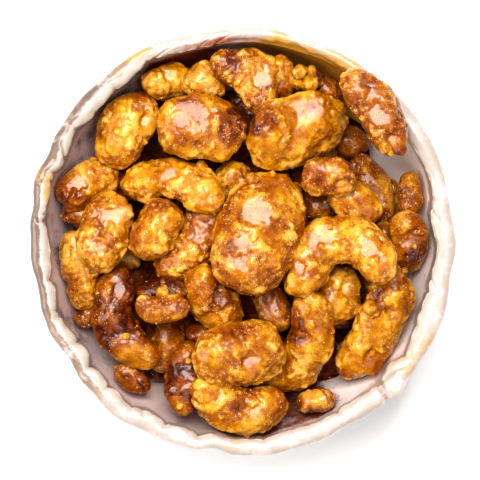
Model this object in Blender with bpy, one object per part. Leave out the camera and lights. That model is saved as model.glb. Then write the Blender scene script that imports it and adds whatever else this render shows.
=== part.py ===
"""A bowl of caramelised cashews, in metres, +Z up. The origin is on the table, under the middle of the foot.

The bowl is one wall, turned, pinched by hand and rolled in at the rim. The heap is a core with every nut
that shows fused on it. From above, +Y is away from the eater and +X is to the right. Lengths are in
millimetres until each finished mesh is scaled, and directions are in degrees from +X towards +Y.
"""

import itertools
import math
from collections import namedtuple

import bmesh
import bpy
import numpy as np
from mathutils import Matrix, Vector, noise

MM = 0.001

# The bowl
RIM_RADIUS = 64.6  # the outline from above, before the pinches
RIM_HEIGHT = 46.0
FOOT_RADIUS = 27.0
FOOT_HEIGHT = 2.0
FOOT_EDGE = 1.0
FLOOR_RADIUS = 21.0
FLOOR = 5.5
WALL = 4.2
ROLL_BULGE = 0.6  # how far the rolled rim stands out past the wall below it
LIP_WIDTH = 5.4
LIP_THICKNESS = 3.8
LIP_START = -25  # degrees: where the roll leaves the outer wall, seen in section
LIP_TURN = 240
LOBE = 1.0  # how far the lobes of the rolled rim reach past the notches between them
BOWL_STEPS = 96
WALL_STEPS = 5
LIP_STEPS = 6

Pinch = namedtuple("Pinch", "side push spread")
# Where fingers pressed the rim in or pulled it out: the middle, how far, and the half width in degrees
PINCHES = (
    Pinch(10, -0.9, 13),
    Pinch(86, 0.5, 12),
    Pinch(119, 1.6, 17),
    Pinch(137, 1.0, 11),
    Pinch(149, 1.0, 10),
    Pinch(163, 1.2, 8),
    Pinch(192, -0.9, 8),
    Pinch(213, -1.2, 9),
    Pinch(233, 1.0, 8),
    Pinch(262, -1.3, 6),
    Pinch(277, 0.4, 5),
    Pinch(299, -0.8, 7),
    Pinch(311, 0.8, 4),
    Pinch(316, 1.6, 5),
    Pinch(350, -0.9, 9),
)
# Where the rolled rim is wider or narrower. At the back right it is hardly rolled at all.
ROLLS = (
    Pinch(8, 0.9, 12),
    Pinch(75, -2.6, 50),
    Pinch(168, -1.2, 12),
    Pinch(200, -0.7, 16),
    Pinch(265, -1.3, 13),
    Pinch(316, 1.6, 10),
    Pinch(342, 1.4, 15),
)
# The notches between the lobes in which the rolled rim ends
NOTCHES = (-15, 13, 118, 130, 146, 160, 172, 191, 202, 211, 219, 227, 236, 247, 257, 276, 299, 313, 325)

# The heap's core
CORE_TOP = 33.0
CORE_FALL = 0.0070  # the low dome falls by this times the square of the distance from the middle
CORE_GAP = 0.7
CORE_REACH = 47.5
# Where the core reaches less far, as the wall shows deep down, and further, to hold up the nut on the rim
CORE_SIDES = (Pinch(-55, -5.0, 30), Pinch(45, 4.5, 14))
CORE_STEPS = 44
CORE_RINGS = 10

# How nuts come to rest
NUT_THICKNESS = 0.8  # of its width, for a nut that lies flat
BROAD = 15.0  # past this width a piece gets thicker by only a third as much as it gets wider
SINK = 2.0  # how deep a nut sinks into what it lies on, where the caramel joins them
BOWL_GAP = 1.0
TILTS = (-24, -12, 0, 12, 24)  # the leans tried, in degrees
TILT_COST = 0.08  # a degree of lean has to bring the nut this much lower
SLIDES = (0, 0.8, 1.6, 2.4)  # the shifts towards the middle that are tried
SLIDE_COST = 4.0
LANDING_STEPS = 120
LANDING_GRID = 3.0

# The caramel coat
CRAG = 0.55
CRAG_SIZE = 6.0

Nut = namedtuple("Nut", "x y length width back bend taper", defaults=(0,))
# In the order in which they fell. x and y are the middle of the nut's bent middle line, and length is
# along that line. back is the direction that the nut's back faces, and bend is how far its ends turn.
# With a taper, the end to the right of someone who looks where the back faces is the thinner one.
NUTS = (
    # low, at the wall and in the gaps
    Nut(2.0, 41.0, 14.0, 9.0, 60, 20),
    Nut(25.5, 46.5, 10.5, 8.0, 45, 20),
    Nut(33.5, 31.0, 12.5, 9.5, 61, 20),
    Nut(25.0, 28.5, 13.0, 8.0, 0, 0),
    Nut(51.3, 15.0, 13.5, 7.0, 0, 15),
    Nut(46.3, 13.5, 12.0, 5.0, 180, 10),
    Nut(40.6, 16.0, 25.0, 10.5, 22, 35),
    Nut(24.0, 11.5, 14.0, 10.0, 90, 0),
    Nut(-34.7, -43.0, 13.0, 7.0, 240, 40),
    Nut(-28.0, -42.0, 9.0, 7.0, 270, 0),
    Nut(-47.0, -23.0, 10.0, 6.0, 90, 0),
    Nut(-36.0, -5.0, 10.0, 8.5, 100, 0),
    Nut(-24.0, -31.0, 18.0, 12.5, 180, 10),
    Nut(9.5, -20.5, 17.0, 10.0, 10, 15),
    Nut(27.5, -31.0, 11.0, 6.5, 0, 0),
    Nut(30.5, -24.0, 11.5, 7.5, 270, 0),
    Nut(22.0, -49.0, 11.5, 7.0, 280, 10),
    Nut(-51.0, 8.0, 10.0, 7.0, 240, 0),
    Nut(-11.0, -29.0, 14.0, 9.0, 90, 0),
    Nut(-36.5, 17.0, 11.0, 9.0, 45, 0),
    Nut(43.5, 0.0, 12.0, 8.0, 0, 0),
    Nut(39.0, -14.5, 11.0, 8.0, 0, 0),
    Nut(19.4, 50.4, 11.5, 7.5, 70, 10),
    # the middle layer
    Nut(34.0, 12.5, 19.0, 12.0, 50, 50),
    Nut(52.3, 0.0, 18.6, 12.4, 0, 15),
    Nut(-48.8, 18.2, 21.5, 12.5, 124, 0),
    Nut(-36.3, 35.0, 25.5, 16.0, 153, 95),
    Nut(-23.7, 49.8, 15.2, 10.5, 100, 10, -0.15),
    Nut(-11.5, 48.5, 13.8, 11.5, 42, 15),
    Nut(11.8, 51.0, 14.0, 8.0, 0, 15),
    Nut(-2.0, 18.0, 14.5, 11.0, 40, 0),
    Nut(-14.0, -0.5, 31.0, 14.5, -34, 94),
    Nut(-50.0, -8.5, 25.0, 12.0, 190, 10),
    Nut(-42.5, 3.5, 24.5, 16.0, 165, 36),
    Nut(27.9, -16.5, 18.0, 15.8, 0, 10),
    Nut(43.2, -26.7, 40.4, 14.5, -25, 35),
    Nut(-10.0, -17.5, 24.0, 14.5, 214, 94),
    Nut(-24.5, -14.3, 16.5, 9.0, 90, 50),
    Nut(-24.5, -20.5, 18.0, 9.0, 270, 60),
    Nut(-26.5, 4.0, 20.0, 14.0, 148, 15),
    # on top of them
    Nut(26.0, 20.0, 17.0, 12.0, 90, 10),
    Nut(40.8, 39.9, 29.4, 13.4, 33, 50),
    Nut(20.0, -32.2, 40.0, 14.0, -22, 72),
    Nut(-17.2, -42.2, 22.4, 13.0, -6, 35),
    Nut(-1.8, -53.5, 33.0, 14.0, 260, 73),
    Nut(-39.5, -25.3, 36.5, 13.2, 199, 105),
    Nut(-20.0, 19.3, 37.0, 13.0, 77, 75),
    Nut(2.5, 50.9, 26.5, 13.0, 44, 135),
    Nut(-13.0, 35.0, 27.0, 19.5, 90, 25),
    Nut(-1.2, -34.2, 28.8, 20.0, -81, 50),
    Nut(16.8, 34.5, 34.6, 21.0, 107, 20, 0.15),
    Nut(29.0, 1.0, 47.0, 15.2, 97, 168),
    Nut(16.5, 13.5, 13.0, 9.0, 0, 0),
    Nut(4.3, 2.3, 38.0, 26.0, 159, 40),
)
Bulge = namedtuple("Bulge", "nut x y reach push side")
# Where a nut's coat stands out or is hollow, seen from above: the middle, how far round it the bulge
# reaches, how far it pushes and towards which side
BULGES = (
    Bulge(25, -58.0, 16.5, 6.0, 0.9, 190),
    Bulge(25, -52.0, 10.5, 5.0, 1.0, 240),
    Bulge(27, -22.5, 55.5, 5.0, 1.2, 95),
    Bulge(32, -57.0, -10.0, 4.0, 0.6, 190),
    Bulge(33, -43.5, -8.0, 6.0, 1.3, 290),
    Bulge(35, 52.0, -17.5, 6.0, 1.2, 20),
    Bulge(42, 6.5, -42.5, 5.0, 1.8, 190),
    Bulge(44, -1.0, -59.0, 12.0, 0.9, 268),
    Bulge(46, -29.5, 14.0, 5.0, 1.6, 230),
    Bulge(47, 9.0, 55.0, 6.0, 1.3, 30),
    Bulge(48, -8.5, 26.0, 7.0, 2.0, 320),
    Bulge(48, -24.0, 27.0, 6.0, 1.5, 240),
    Bulge(51, 14.5, -14.5, 6.0, 1.5, 225),
    Bulge(51, 23.5, -12.0, 6.0, 2.2, 340),
    Bulge(53, 12.5, 20.0, 7.0, 1.4, 40),
    Bulge(53, -9.5, 12.5, 6.0, -1.2, 130),
)
BIG = 20.0  # nuts longer than this get more sides
BIG_SIDES = (12, 8)
SMALL_SIDES = (8, 6)

Crumb = namedtuple("Crumb", "x y radius")
# Lumps of caramel and broken nut that lie on the nuts or in the gaps
CRUMBS = (
    Crumb(16.7, 48.4, 1.8),
    Crumb(20.3, 48.4, 2.6),
    Crumb(17.5, 52.0, 2.3),
    Crumb(20.7, 52.3, 1.7),
    Crumb(-24.5, -15.3, 2.1),
    Crumb(39.0, -20.0, 2.3),
    Crumb(42.5, 28.5, 1.8),
    Crumb(3.0, 19.0, 2.0),
    Crumb(-12.5, 23.0, 1.9),
)


def hump(angle, pinch):
    """The pinch's push at its own direction, falling smoothly to nothing at its spread to either side."""
    away = abs((math.degrees(angle) - pinch.side + 180) % 360 - 180)
    return pinch.push * math.cos(math.pi / 2 * min(away / pinch.spread, 1)) ** 2


def rim_radius(angle):
    return RIM_RADIUS + sum(hump(angle, pinch) for pinch in PINCHES)


def lip_width(angle):
    """The rolled rim's width: it ends in round lobes with a notch between each two."""
    degrees = math.degrees(angle)
    notches = [notch + turn for turn in (-360, 0, 360) for notch in NOTCHES]
    before = max(notch for notch in notches if notch <= degrees)
    after = min(notch for notch in notches if notch > degrees)
    lobe = math.sqrt(math.sin(math.pi * (degrees - before) / (after - before)))
    return LIP_WIDTH + LOBE * (lobe - 0.5) + sum(hump(angle, roll) for roll in ROLLS)


def inner_reach(angle):
    return rim_radius(angle) - WALL - FLOOR_RADIUS


def inside(angle, rise):
    """The inner wall's radius and height; rise goes from 0 at the floor to 1 under the rim."""
    turn = math.pi / 2 * rise
    height = RIM_HEIGHT - LIP_THICKNESS - FLOOR
    return FLOOR_RADIUS + inner_reach(angle) * math.sin(turn), FLOOR + height * (1 - math.cos(turn))


def outside(angle, rise):
    """The outer wall's radius and height; rise goes from 0 at the foot to 1 under the rim."""
    turn = math.pi / 2 * rise
    reach = rim_radius(angle) - ROLL_BULGE - FOOT_RADIUS
    height = RIM_HEIGHT - LIP_THICKNESS - FOOT_HEIGHT
    return FOOT_RADIUS + reach * math.sin(turn), FOOT_HEIGHT + height * (1 - math.cos(turn))


def lip(angle, part):
    """The rolled rim, from its outer side at part 0 over the crest to its inner edge and under at part 1."""
    turn = math.radians(LIP_START + LIP_TURN * part)
    radius = rim_radius(angle) - lip_width(angle) / 2 * (1 - math.cos(turn))
    return radius, RIM_HEIGHT - LIP_THICKNESS / 2 * (1 - math.sin(turn))


def bowl_section(angle):
    """Radii and heights from the middle of the foot, up the outside, over the rim and down to the floor."""
    points = [(0, 0), (FOOT_RADIUS - FOOT_EDGE, 0)]
    points += [outside(angle, step / WALL_STEPS) for step in range(WALL_STEPS + 1)]
    points += [lip(angle, step / LIP_STEPS) for step in range(LIP_STEPS + 1)]
    points += [inside(angle, 1 - step / WALL_STEPS) for step in range(WALL_STEPS + 1)]
    return points + [(0, FLOOR)]


def turned(sections):
    """A solid spun round +Z from its sections, of which there is one for each step."""
    steps = len(sections)
    bm = bmesh.new()
    ring = bm.verts.layers.int.new("ring")
    line = [bm.verts.new((radius, 0, height)) for radius, height in sections[0]]
    for number, vert in enumerate(line):
        vert[ring] = number
    edges = [bm.edges.new(pair) for pair in itertools.pairwise(line)]
    axis = {"axis": (0, 0, 1), "cent": (0, 0, 0)}
    bmesh.ops.spin(bm, geom=line + edges, angle=math.tau, steps=steps, use_merge=True, **axis)
    for vert in bm.verts:
        step = round(math.atan2(vert.co.y, vert.co.x) / math.tau * steps) % steps
        radius, height = sections[step][vert[ring]]
        angle = math.tau * step / steps
        vert.co = (radius * math.cos(angle), radius * math.sin(angle), height)
    bmesh.ops.remove_doubles(bm, verts=bm.verts, dist=0.001)
    bmesh.ops.recalc_face_normals(bm, faces=bm.faces)
    return bm


def dome(radius):
    return CORE_TOP - CORE_FALL * radius**2


def core_sections(heap):
    """The core keeps clear of the wall, and its low dome rises into the lowest nut over each place."""
    sections = []
    for step in range(CORE_STEPS):
        angle = math.tau * step / CORE_STEPS
        reach = CORE_REACH + sum(hump(angle, side) for side in CORE_SIDES)
        rise = math.asin((reach + CORE_GAP - FLOOR_RADIUS) / inner_reach(angle)) / (math.pi / 2)
        side = [inside(angle, rise * part / WALL_STEPS) for part in range(WALL_STEPS + 1)]
        points = [(0, FLOOR + CORE_GAP)] + [(radius - CORE_GAP, height + CORE_GAP) for radius, height in side]
        for ring in range(CORE_RINGS, 0, -1):
            radius = reach * ring / CORE_RINGS
            away = np.hypot(heap[:, 0] - radius * math.cos(angle), heap[:, 1] - radius * math.sin(angle))
            over = heap[away < heap[:, 3], 2]
            points.append((radius, max(over.min(), dome(radius)) if len(over) else dome(radius)))
        sections.append(points + [(0, CORE_TOP)])
    return sections


def thickness(nut):
    return NUT_THICKNESS * (min(nut.width, BROAD) + max(nut.width - BROAD, 0) / 3)


def swell(nut, along):
    """The nut's width, as a part of its largest, at `along` from -1 to 1: blunt at both ends."""
    return math.sqrt(max(1 - abs(along) ** 3, 0)) * (1 - nut.taper * along)


def middle_line(nut, along):
    """The point of the bent middle line at `along` and its direction: most of the bend is in the middle."""
    turns = -math.radians(nut.bend) / 2 * np.sin(math.pi / 2 * np.linspace(0, along, 13))
    reach = nut.length / 2 * along
    return Vector((reach * np.cos(turns).mean(), reach * np.sin(turns).mean(), 0)), turns[-1]


def in_place(nut, tilt, roll, slide):
    lean = Matrix.Rotation(math.radians(tilt), 4, "Y") @ Matrix.Rotation(math.radians(roll), 4, "X")
    spot = Vector((nut.x, nut.y, 0)) * (1 - slide / math.hypot(nut.x, nut.y))
    return Matrix.Translation(spot) @ Matrix.Rotation(math.radians(nut.back - 90), 4, "Z") @ lean


def balls(nut):
    """Balls that fill the nut, as rows of x, y, z and radius about its middle."""
    rows = []
    for step in range(-3, 4):
        along = 0.28 * step
        middle, turn = middle_line(nut, along)
        radius = thickness(nut) / 2 * swell(nut, along)
        spare = nut.width / 2 * swell(nut, along) - radius
        for side in (-1, 0, 1):
            rows.append((*(middle + Vector((-math.sin(turn), math.cos(turn), 0)) * side * spare), radius))
    return np.array(rows)


def landing_balls():
    """Small balls along the bowl's inner wall and rim and over the low dome, for the nuts to land on."""
    rows = []
    for angle in np.linspace(0, math.tau, LANDING_STEPS, endpoint=False):
        line = [inside(angle, rise) for rise in np.linspace(0.2, 1, 24)]
        line += [lip(angle, part) for part in np.linspace(0.1, 1, 9)]
        rows += [(radius * math.cos(angle), radius * math.sin(angle), z, SINK + BOWL_GAP) for radius, z in line]
    grid = np.arange(-CORE_REACH, CORE_REACH, LANDING_GRID)
    rows += [(x, y, dome(math.hypot(x, y)), 0) for x in grid for y in grid if math.hypot(x, y) < CORE_REACH]
    return np.array(rows)


def rest_height(loose, fixed):
    """How high the loose balls' middle comes to rest on the fixed ones."""
    away = np.hypot(loose[:, None, 0] - fixed[None, :, 0], loose[:, None, 1] - fixed[None, :, 1])
    reach = loose[:, None, 3] + fixed[None, :, 3] - SINK
    rise = np.sqrt(np.maximum(reach**2 - away**2, 0))
    return np.where(away < reach, fixed[None, :, 2] + rise - loose[:, None, 2], 0).max()


def moved(rows, matrix):
    centres = rows[:, :3] @ np.array(matrix.to_3x3()).T + np.array(matrix.translation)
    return np.hstack([centres, rows[:, 3:]])


def settled():
    """Each nut's matrix, and the balls of the whole heap.

    A nut falls straight down. It leans, and slides towards the middle, where that brings it lower.
    """
    fixed = landing_balls()
    ground = len(fixed)
    places = []
    for nut in NUTS:
        rows = balls(nut)
        near = fixed[np.hypot(fixed[:, 0] - nut.x, fixed[:, 1] - nut.y) < nut.length]
        tries = []
        for tilt, roll, slide in itertools.product(TILTS, TILTS, SLIDES):
            place = in_place(nut, tilt, roll, slide)
            height = rest_height(moved(rows, place), near)
            cost = height + TILT_COST * math.hypot(tilt, roll) + SLIDE_COST * slide
            tries.append((cost, len(tries), height, place))
        height, place = min(tries)[2:]
        places.append(Matrix.Translation((0, 0, height)) @ place)
        fixed = np.vstack([fixed, moved(rows, places[-1])])
    return places, fixed[ground:]


def bulged(spot, number):
    """Where the nut's bulges move a point of its surface."""
    for bulge in BULGES:
        if bulge.nut == number:
            away = math.hypot(spot.x - bulge.x, spot.y - bulge.y) / bulge.reach
            push = bulge.push * math.cos(math.pi / 2 * min(away, 1)) ** 2
            side = math.radians(bulge.side)
            spot = spot + Vector((math.cos(side), math.sin(side), 0)) * push
    return spot


def nut_solid(nut, place, number):
    """A bent nut with blunt ends and a lumpy caramel coat, with few sides."""
    bm = bmesh.new()
    along_x = Matrix.Rotation(math.pi / 2, 4, "Y")
    sides, rings = BIG_SIDES if nut.length > BIG else SMALL_SIDES
    bmesh.ops.create_uvsphere(bm, u_segments=sides, v_segments=rings, radius=1, matrix=along_x)
    for vert in bm.verts:
        along = max(-1, min(1, vert.co.x))
        around = math.atan2(vert.co.z, vert.co.y)
        middle, turn = middle_line(nut, along)
        width = nut.width / 2 * swell(nut, along) * math.cos(around)
        height = thickness(nut) / 2 * swell(nut, along) * math.sin(around)
        vert.co = middle + Vector((-math.sin(turn) * width, math.cos(turn) * width, height))
    bm.normal_update()
    for vert in bm.verts:
        vert.co += vert.normal * CRAG * noise.noise(vert.co / CRAG_SIZE + Vector((0, 0, number)))
    bmesh.ops.recalc_face_normals(bm, faces=bm.faces)
    bm.transform(place)
    for vert in bm.verts:
        vert.co = bulged(vert.co, number)
    return bm


def crumb_solid(crumb, heap, number):
    bm = bmesh.new()
    bmesh.ops.create_icosphere(bm, subdivisions=1, radius=crumb.radius)
    height = rest_height(np.array([(crumb.x, crumb.y, 0, crumb.radius)]), heap)
    bm.transform(Matrix.Translation((crumb.x, crumb.y, height)) @ Matrix.Rotation(number, 4, "X"))
    return bm


def object_from(bm, name, collection):
    mesh = bpy.data.meshes.new(name)
    bm.to_mesh(mesh)
    bm.free()
    obj = bpy.data.objects.new(name, mesh)
    collection.objects.link(obj)
    return obj


def keep_outer_skin(mesh):
    """Fills the hollows sealed inside a fused mesh and drops its loose scraps."""
    bm = bmesh.new()
    bm.from_mesh(mesh)
    bmesh.ops.remove_doubles(bm, verts=bm.verts, dist=0.01)
    bmesh.ops.dissolve_degenerate(bm, edges=bm.edges, dist=0.005)
    bmesh.ops.triangulate(bm, faces=bm.faces)
    left = set(bm.faces)
    skins = []
    while left:
        skin = set()
        front = {left.pop()}
        while front:
            skin |= front
            front = {near for face in front for edge in face.edges for near in edge.link_faces} - skin
        left -= skin
        skins.append(skin)
    skins.sort(key=len)
    for skin in skins[:-1]:
        bmesh.ops.delete(bm, geom=list(skin), context="FACES")
    bm.to_mesh(mesh)
    bm.free()


def finish(obj, name, colour, roughness):
    """Scales the mesh from millimetres and gives it its material."""
    obj.data.transform(Matrix.Scale(MM, 4))
    obj.data.shade_smooth()
    obj.data.set_sharp_from_angle(angle=math.radians(45))
    made = bpy.data.materials.new(name)
    made.use_nodes = True
    shader = made.node_tree.nodes["Principled BSDF"]
    shader.inputs["Base Color"].default_value = (*colour, 1)
    shader.inputs["Roughness"].default_value = roughness
    shader.inputs["Metallic"].default_value = 0
    obj.data.materials.append(made)


def make_bowl():
    sections = [bowl_section(math.tau * step / BOWL_STEPS) for step in range(BOWL_STEPS)]
    bowl = object_from(turned(sections), "bowl", bpy.context.scene.collection)
    finish(bowl, "glazed_stoneware", (0.83, 0.76, 0.70), 0.25)


def make_heap():
    places, heap_balls = settled()
    heap = object_from(turned(core_sections(heap_balls)), "cashew_heap", bpy.context.scene.collection)
    pieces = bpy.data.collections.new("pieces_of_the_heap")
    bpy.context.scene.collection.children.link(pieces)
    for number, (nut, place) in enumerate(zip(NUTS, places)):
        object_from(nut_solid(nut, place, number), f"nut_{number}", pieces)
    for number, crumb in enumerate(CRUMBS):
        object_from(crumb_solid(crumb, heap_balls, number), f"crumb_{number}", pieces)
    union = heap.modifiers.new("fused", "BOOLEAN")
    union.operation = "UNION"
    union.operand_type = "COLLECTION"
    union.collection = pieces
    union.solver = "EXACT"
    fused = bpy.data.meshes.new_from_object(heap.evaluated_get(bpy.context.evaluated_depsgraph_get()))
    heap.modifiers.clear()
    heap.data = fused
    for obj in list(pieces.objects):
        bpy.data.objects.remove(obj)
    bpy.data.collections.remove(pieces)
    keep_outer_skin(heap.data)
    finish(heap, "caramel_coated_nut", (0.62, 0.30, 0.05), 0.3)


def main():
    for obj in list(bpy.data.objects):
        bpy.data.objects.remove(obj)
    make_bowl()
    make_heap()


if __name__ == "__main__":
    main()
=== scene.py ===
"""The looks of a bowl of caramelised cashews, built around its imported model.

A hand-pinched stoneware bowl with a rolled, lobed rim holds a heap of nuts in boiled sugar. Lengths are in
millimetres until a finished mesh is scaled, heights are above the table, +Y is away from the eater, and
directions are in degrees from +X towards +Y. Colours are written as sRGB hex and turned to linear once.
"""

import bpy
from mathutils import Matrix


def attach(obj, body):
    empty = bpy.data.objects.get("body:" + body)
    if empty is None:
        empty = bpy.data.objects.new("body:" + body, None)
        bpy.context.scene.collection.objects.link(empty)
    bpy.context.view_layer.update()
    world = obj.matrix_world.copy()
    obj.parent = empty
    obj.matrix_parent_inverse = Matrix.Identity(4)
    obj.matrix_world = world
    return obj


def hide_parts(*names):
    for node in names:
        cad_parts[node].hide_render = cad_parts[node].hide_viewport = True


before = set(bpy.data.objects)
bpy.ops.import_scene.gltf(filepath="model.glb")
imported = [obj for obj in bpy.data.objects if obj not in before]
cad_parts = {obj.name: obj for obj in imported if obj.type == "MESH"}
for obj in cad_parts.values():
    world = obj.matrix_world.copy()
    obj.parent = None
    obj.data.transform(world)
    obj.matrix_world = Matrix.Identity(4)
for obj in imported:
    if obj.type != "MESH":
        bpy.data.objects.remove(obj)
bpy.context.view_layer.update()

import itertools
import math
from collections import namedtuple
from functools import cache

import bmesh
import bpy
import numpy as np
from bpy.props import FloatProperty, FloatVectorProperty, PointerProperty
from mathutils import Matrix, Vector, noise

bl_info = {
    "name": "Bowl of caramelised cashews",
    "version": (1, 0, 0),
    "blender": (4, 5, 0),
    "location": "3D view > Sidebar > Cashews",
    "description": "Models and finishes a pinched stoneware bowl and the sugared nuts in it",
    "category": "Add Mesh",
}

MM = 0.001


def rows(kind, *values):
    """A table's rows, by the names of their columns."""
    return [kind(*row) for row in values]


# The bowl's wall, as the model has it
RIM_RADIUS = 64.6
RIM_HEIGHT = 46.0
FOOT_RADIUS = 27.0
FOOT_HEIGHT = 2.0
FOOT_EDGE = 1.0
FLOOR_RADIUS = 21.0
FLOOR = 5.5
WALL = 4.2
ROLL_BULGE = 0.6
LIP_WIDTH = 5.4
LIP_THICKNESS = 3.8
LIP_START = -25
LIP_TURN = 240
LOBE = 1.0  # how much wider the lip is in the middle of a lobe than in a notch

# Where the rim is pushed out or in, where its lip is wider or narrower, and the notches between its lobes
Pinch = namedtuple("Pinch", "side push spread")
PINCHES = rows(
    Pinch,
    (10, -0.9, 13), (86, 0.5, 12), (119, 1.6, 17), (137, 1.0, 11), (149, 1.0, 10), (163, 1.2, 8),
    (192, -0.9, 8), (213, -1.2, 9), (233, 1.0, 8), (262, -1.3, 6), (277, 0.4, 5), (299, -0.8, 7),
    (311, 0.8, 4), (316, 1.6, 5), (350, -0.9, 9),
)
ROLLS = rows(
    Pinch,
    (8, 0.9, 12), (75, -2.6, 50), (168, -1.2, 12), (200, -0.7, 16), (265, -1.3, 13), (316, 1.6, 10),
    (342, 1.4, 15),
)
NOTCHES = (-15, 13, 118, 130, 146, 160, 172, 191, 202, 211, 219, 227, 236, 247, 257, 276, 299, 313, 325)

# Folds and slits across the rolled rim: where, how far each turns on its way inwards, how deep and how
# wide it is, and how far in on the lip it starts
Crease = namedtuple("Crease", "side lean depth width start")
CREASES = rows(
    Crease,
    (93.6, 9, 0.5, 0.6, 0.2), (99.0, 8, 0.4, 0.5, 0.3), (110.0, 12, 0.6, 0.6, 0.3),
    (151.3, 7, 0.9, 0.7, 0.4), (163.6, -2, 0.5, 0.4, 0.1), (173.8, 0, 1.0, 0.5, 0.2),
    (199.0, 3, 0.4, 0.5, 0.4), (241.0, -4, 0.3, 0.6, 0.5), (313.2, 2, 1.2, 0.9, -0.3),
    (320.2, -11, 0.8, 0.7, 0.25), (345.0, 8, 0.4, 0.5, 0.3), (5.0, 10, 0.4, 0.5, 0.3),
)
# In the order in which they lie over each other
GLAZES = ("slip", "lilac_and_light", "ash_and_shade", "plum_and_shade", "umber", "rust", "ochre", "honey")
Pool = namedtuple("Pool", "glaze zone side spread amount")
# Where each glaze lies on the inner wall, on the lip and on the rim's outer side. Plum also paints shade on
# the wall, most at the back left, lilac paints light on the right of the wall, and ash paints shade on the
# rim's outer side
POOLS = rows(
    Pool,
    ("slip", "lip", 0, 360, 1.0), ("slip", "side", 0, 360, 0.65), ("lilac_and_light", "wall", 5, 60, 1.0),
    ("lilac_and_light", "wall", 222, 26, 0.45), ("lilac_and_light", "wall", 312, 24, 0.8), ("ash_and_shade", "side", 176, 44, 1.0),
    ("ash_and_shade", "side", 136, 34, 0.75), ("ash_and_shade", "side", 215, 20, 0.5), ("plum_and_shade", "wall", 140, 34, 0.4),
    ("plum_and_shade", "wall", 178, 12, 0.4), ("plum_and_shade", "wall", 208, 12, 0.5), ("plum_and_shade", "wall", 290, 18, 0.6),
    ("umber", "side", 165, 8, 0.5), ("umber", "side", 208, 14, 0.45), ("rust", "wall", 110, 22, 0.9),
    ("rust", "wall", 286, 24, 0.5), ("rust", "lip", 100, 16, 0.6), ("honey", "wall", 68, 34, 1.0),
    ("honey", "lip", 76, 13, 0.65), ("honey", "side", 76, 11, 0.5), ("ochre", "wall", 270, 8, 0.7),
    ("ochre", "lip", 66, 28, 0.6), ("ochre", "lip", 165, 8, 0.6), ("ochre", "lip", 270, 5, 0.4),
    ("ochre", "lip", 318, 16, 0.4), ("ochre", "side", 66, 24, 0.35), ("ochre", "side", 122, 14, 0.5),
    ("ochre", "side", 165, 9, 0.45), ("ochre", "side", 223, 10, 0.25), ("ochre", "side", 268, 7, 0.2),
    ("ochre", "side", 326, 20, 0.38),
)

# Dents that hands left in the wall, and how the lip's inner edge wanders: how far each goes, how far apart
# they are, and their seed
BOWL_DENTS = ((0.35, 16, 1), (0.25, 6, 2), (0.12, 2.5, 3))
EDGE_WAVES = ((1.0, 3.5, 4), (0.5, 1.6, 5))

# How fine the bowl's mesh is
BOWL_STEPS = 720
WALL_STEPS = 30
LIP_STEPS = 34

# The heap's core and how the nuts come to rest on it, as the model has them
CORE_TOP = 33.0
CORE_FALL = 0.0070
CORE_GAP = 0.7
CORE_REACH = 47.5
CORE_SIDES = rows(Pinch, (-55, -5.0, 30), (45, 4.5, 14))
NUT_THICKNESS = 0.8  # of its width
BROAD = 15.0  # what is wider than this is flatter
SINK = 2.0  # how far nuts that touch run into each other
BOWL_GAP = 1.0
LINE_STEPS = 13
BALL_STEP = 0.28  # between the balls that stand for a falling nut, in half lengths
TILTS = (-24, -12, 0, 12, 24)
TILT_COST = 0.08  # a nut tilts, and slides inwards, only where that lets it fall further
SLIDES = (0, 0.8, 1.6, 2.4)
SLIDE_COST = 4.0
LANDING_STEPS = 120
LANDING_GRID = 3.0
CRAG = 0.55
CRAG_SIZE = 6.0

Nut = namedtuple("Nut", "kind burn x y length width back bend taper", defaults=(0,))
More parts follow.
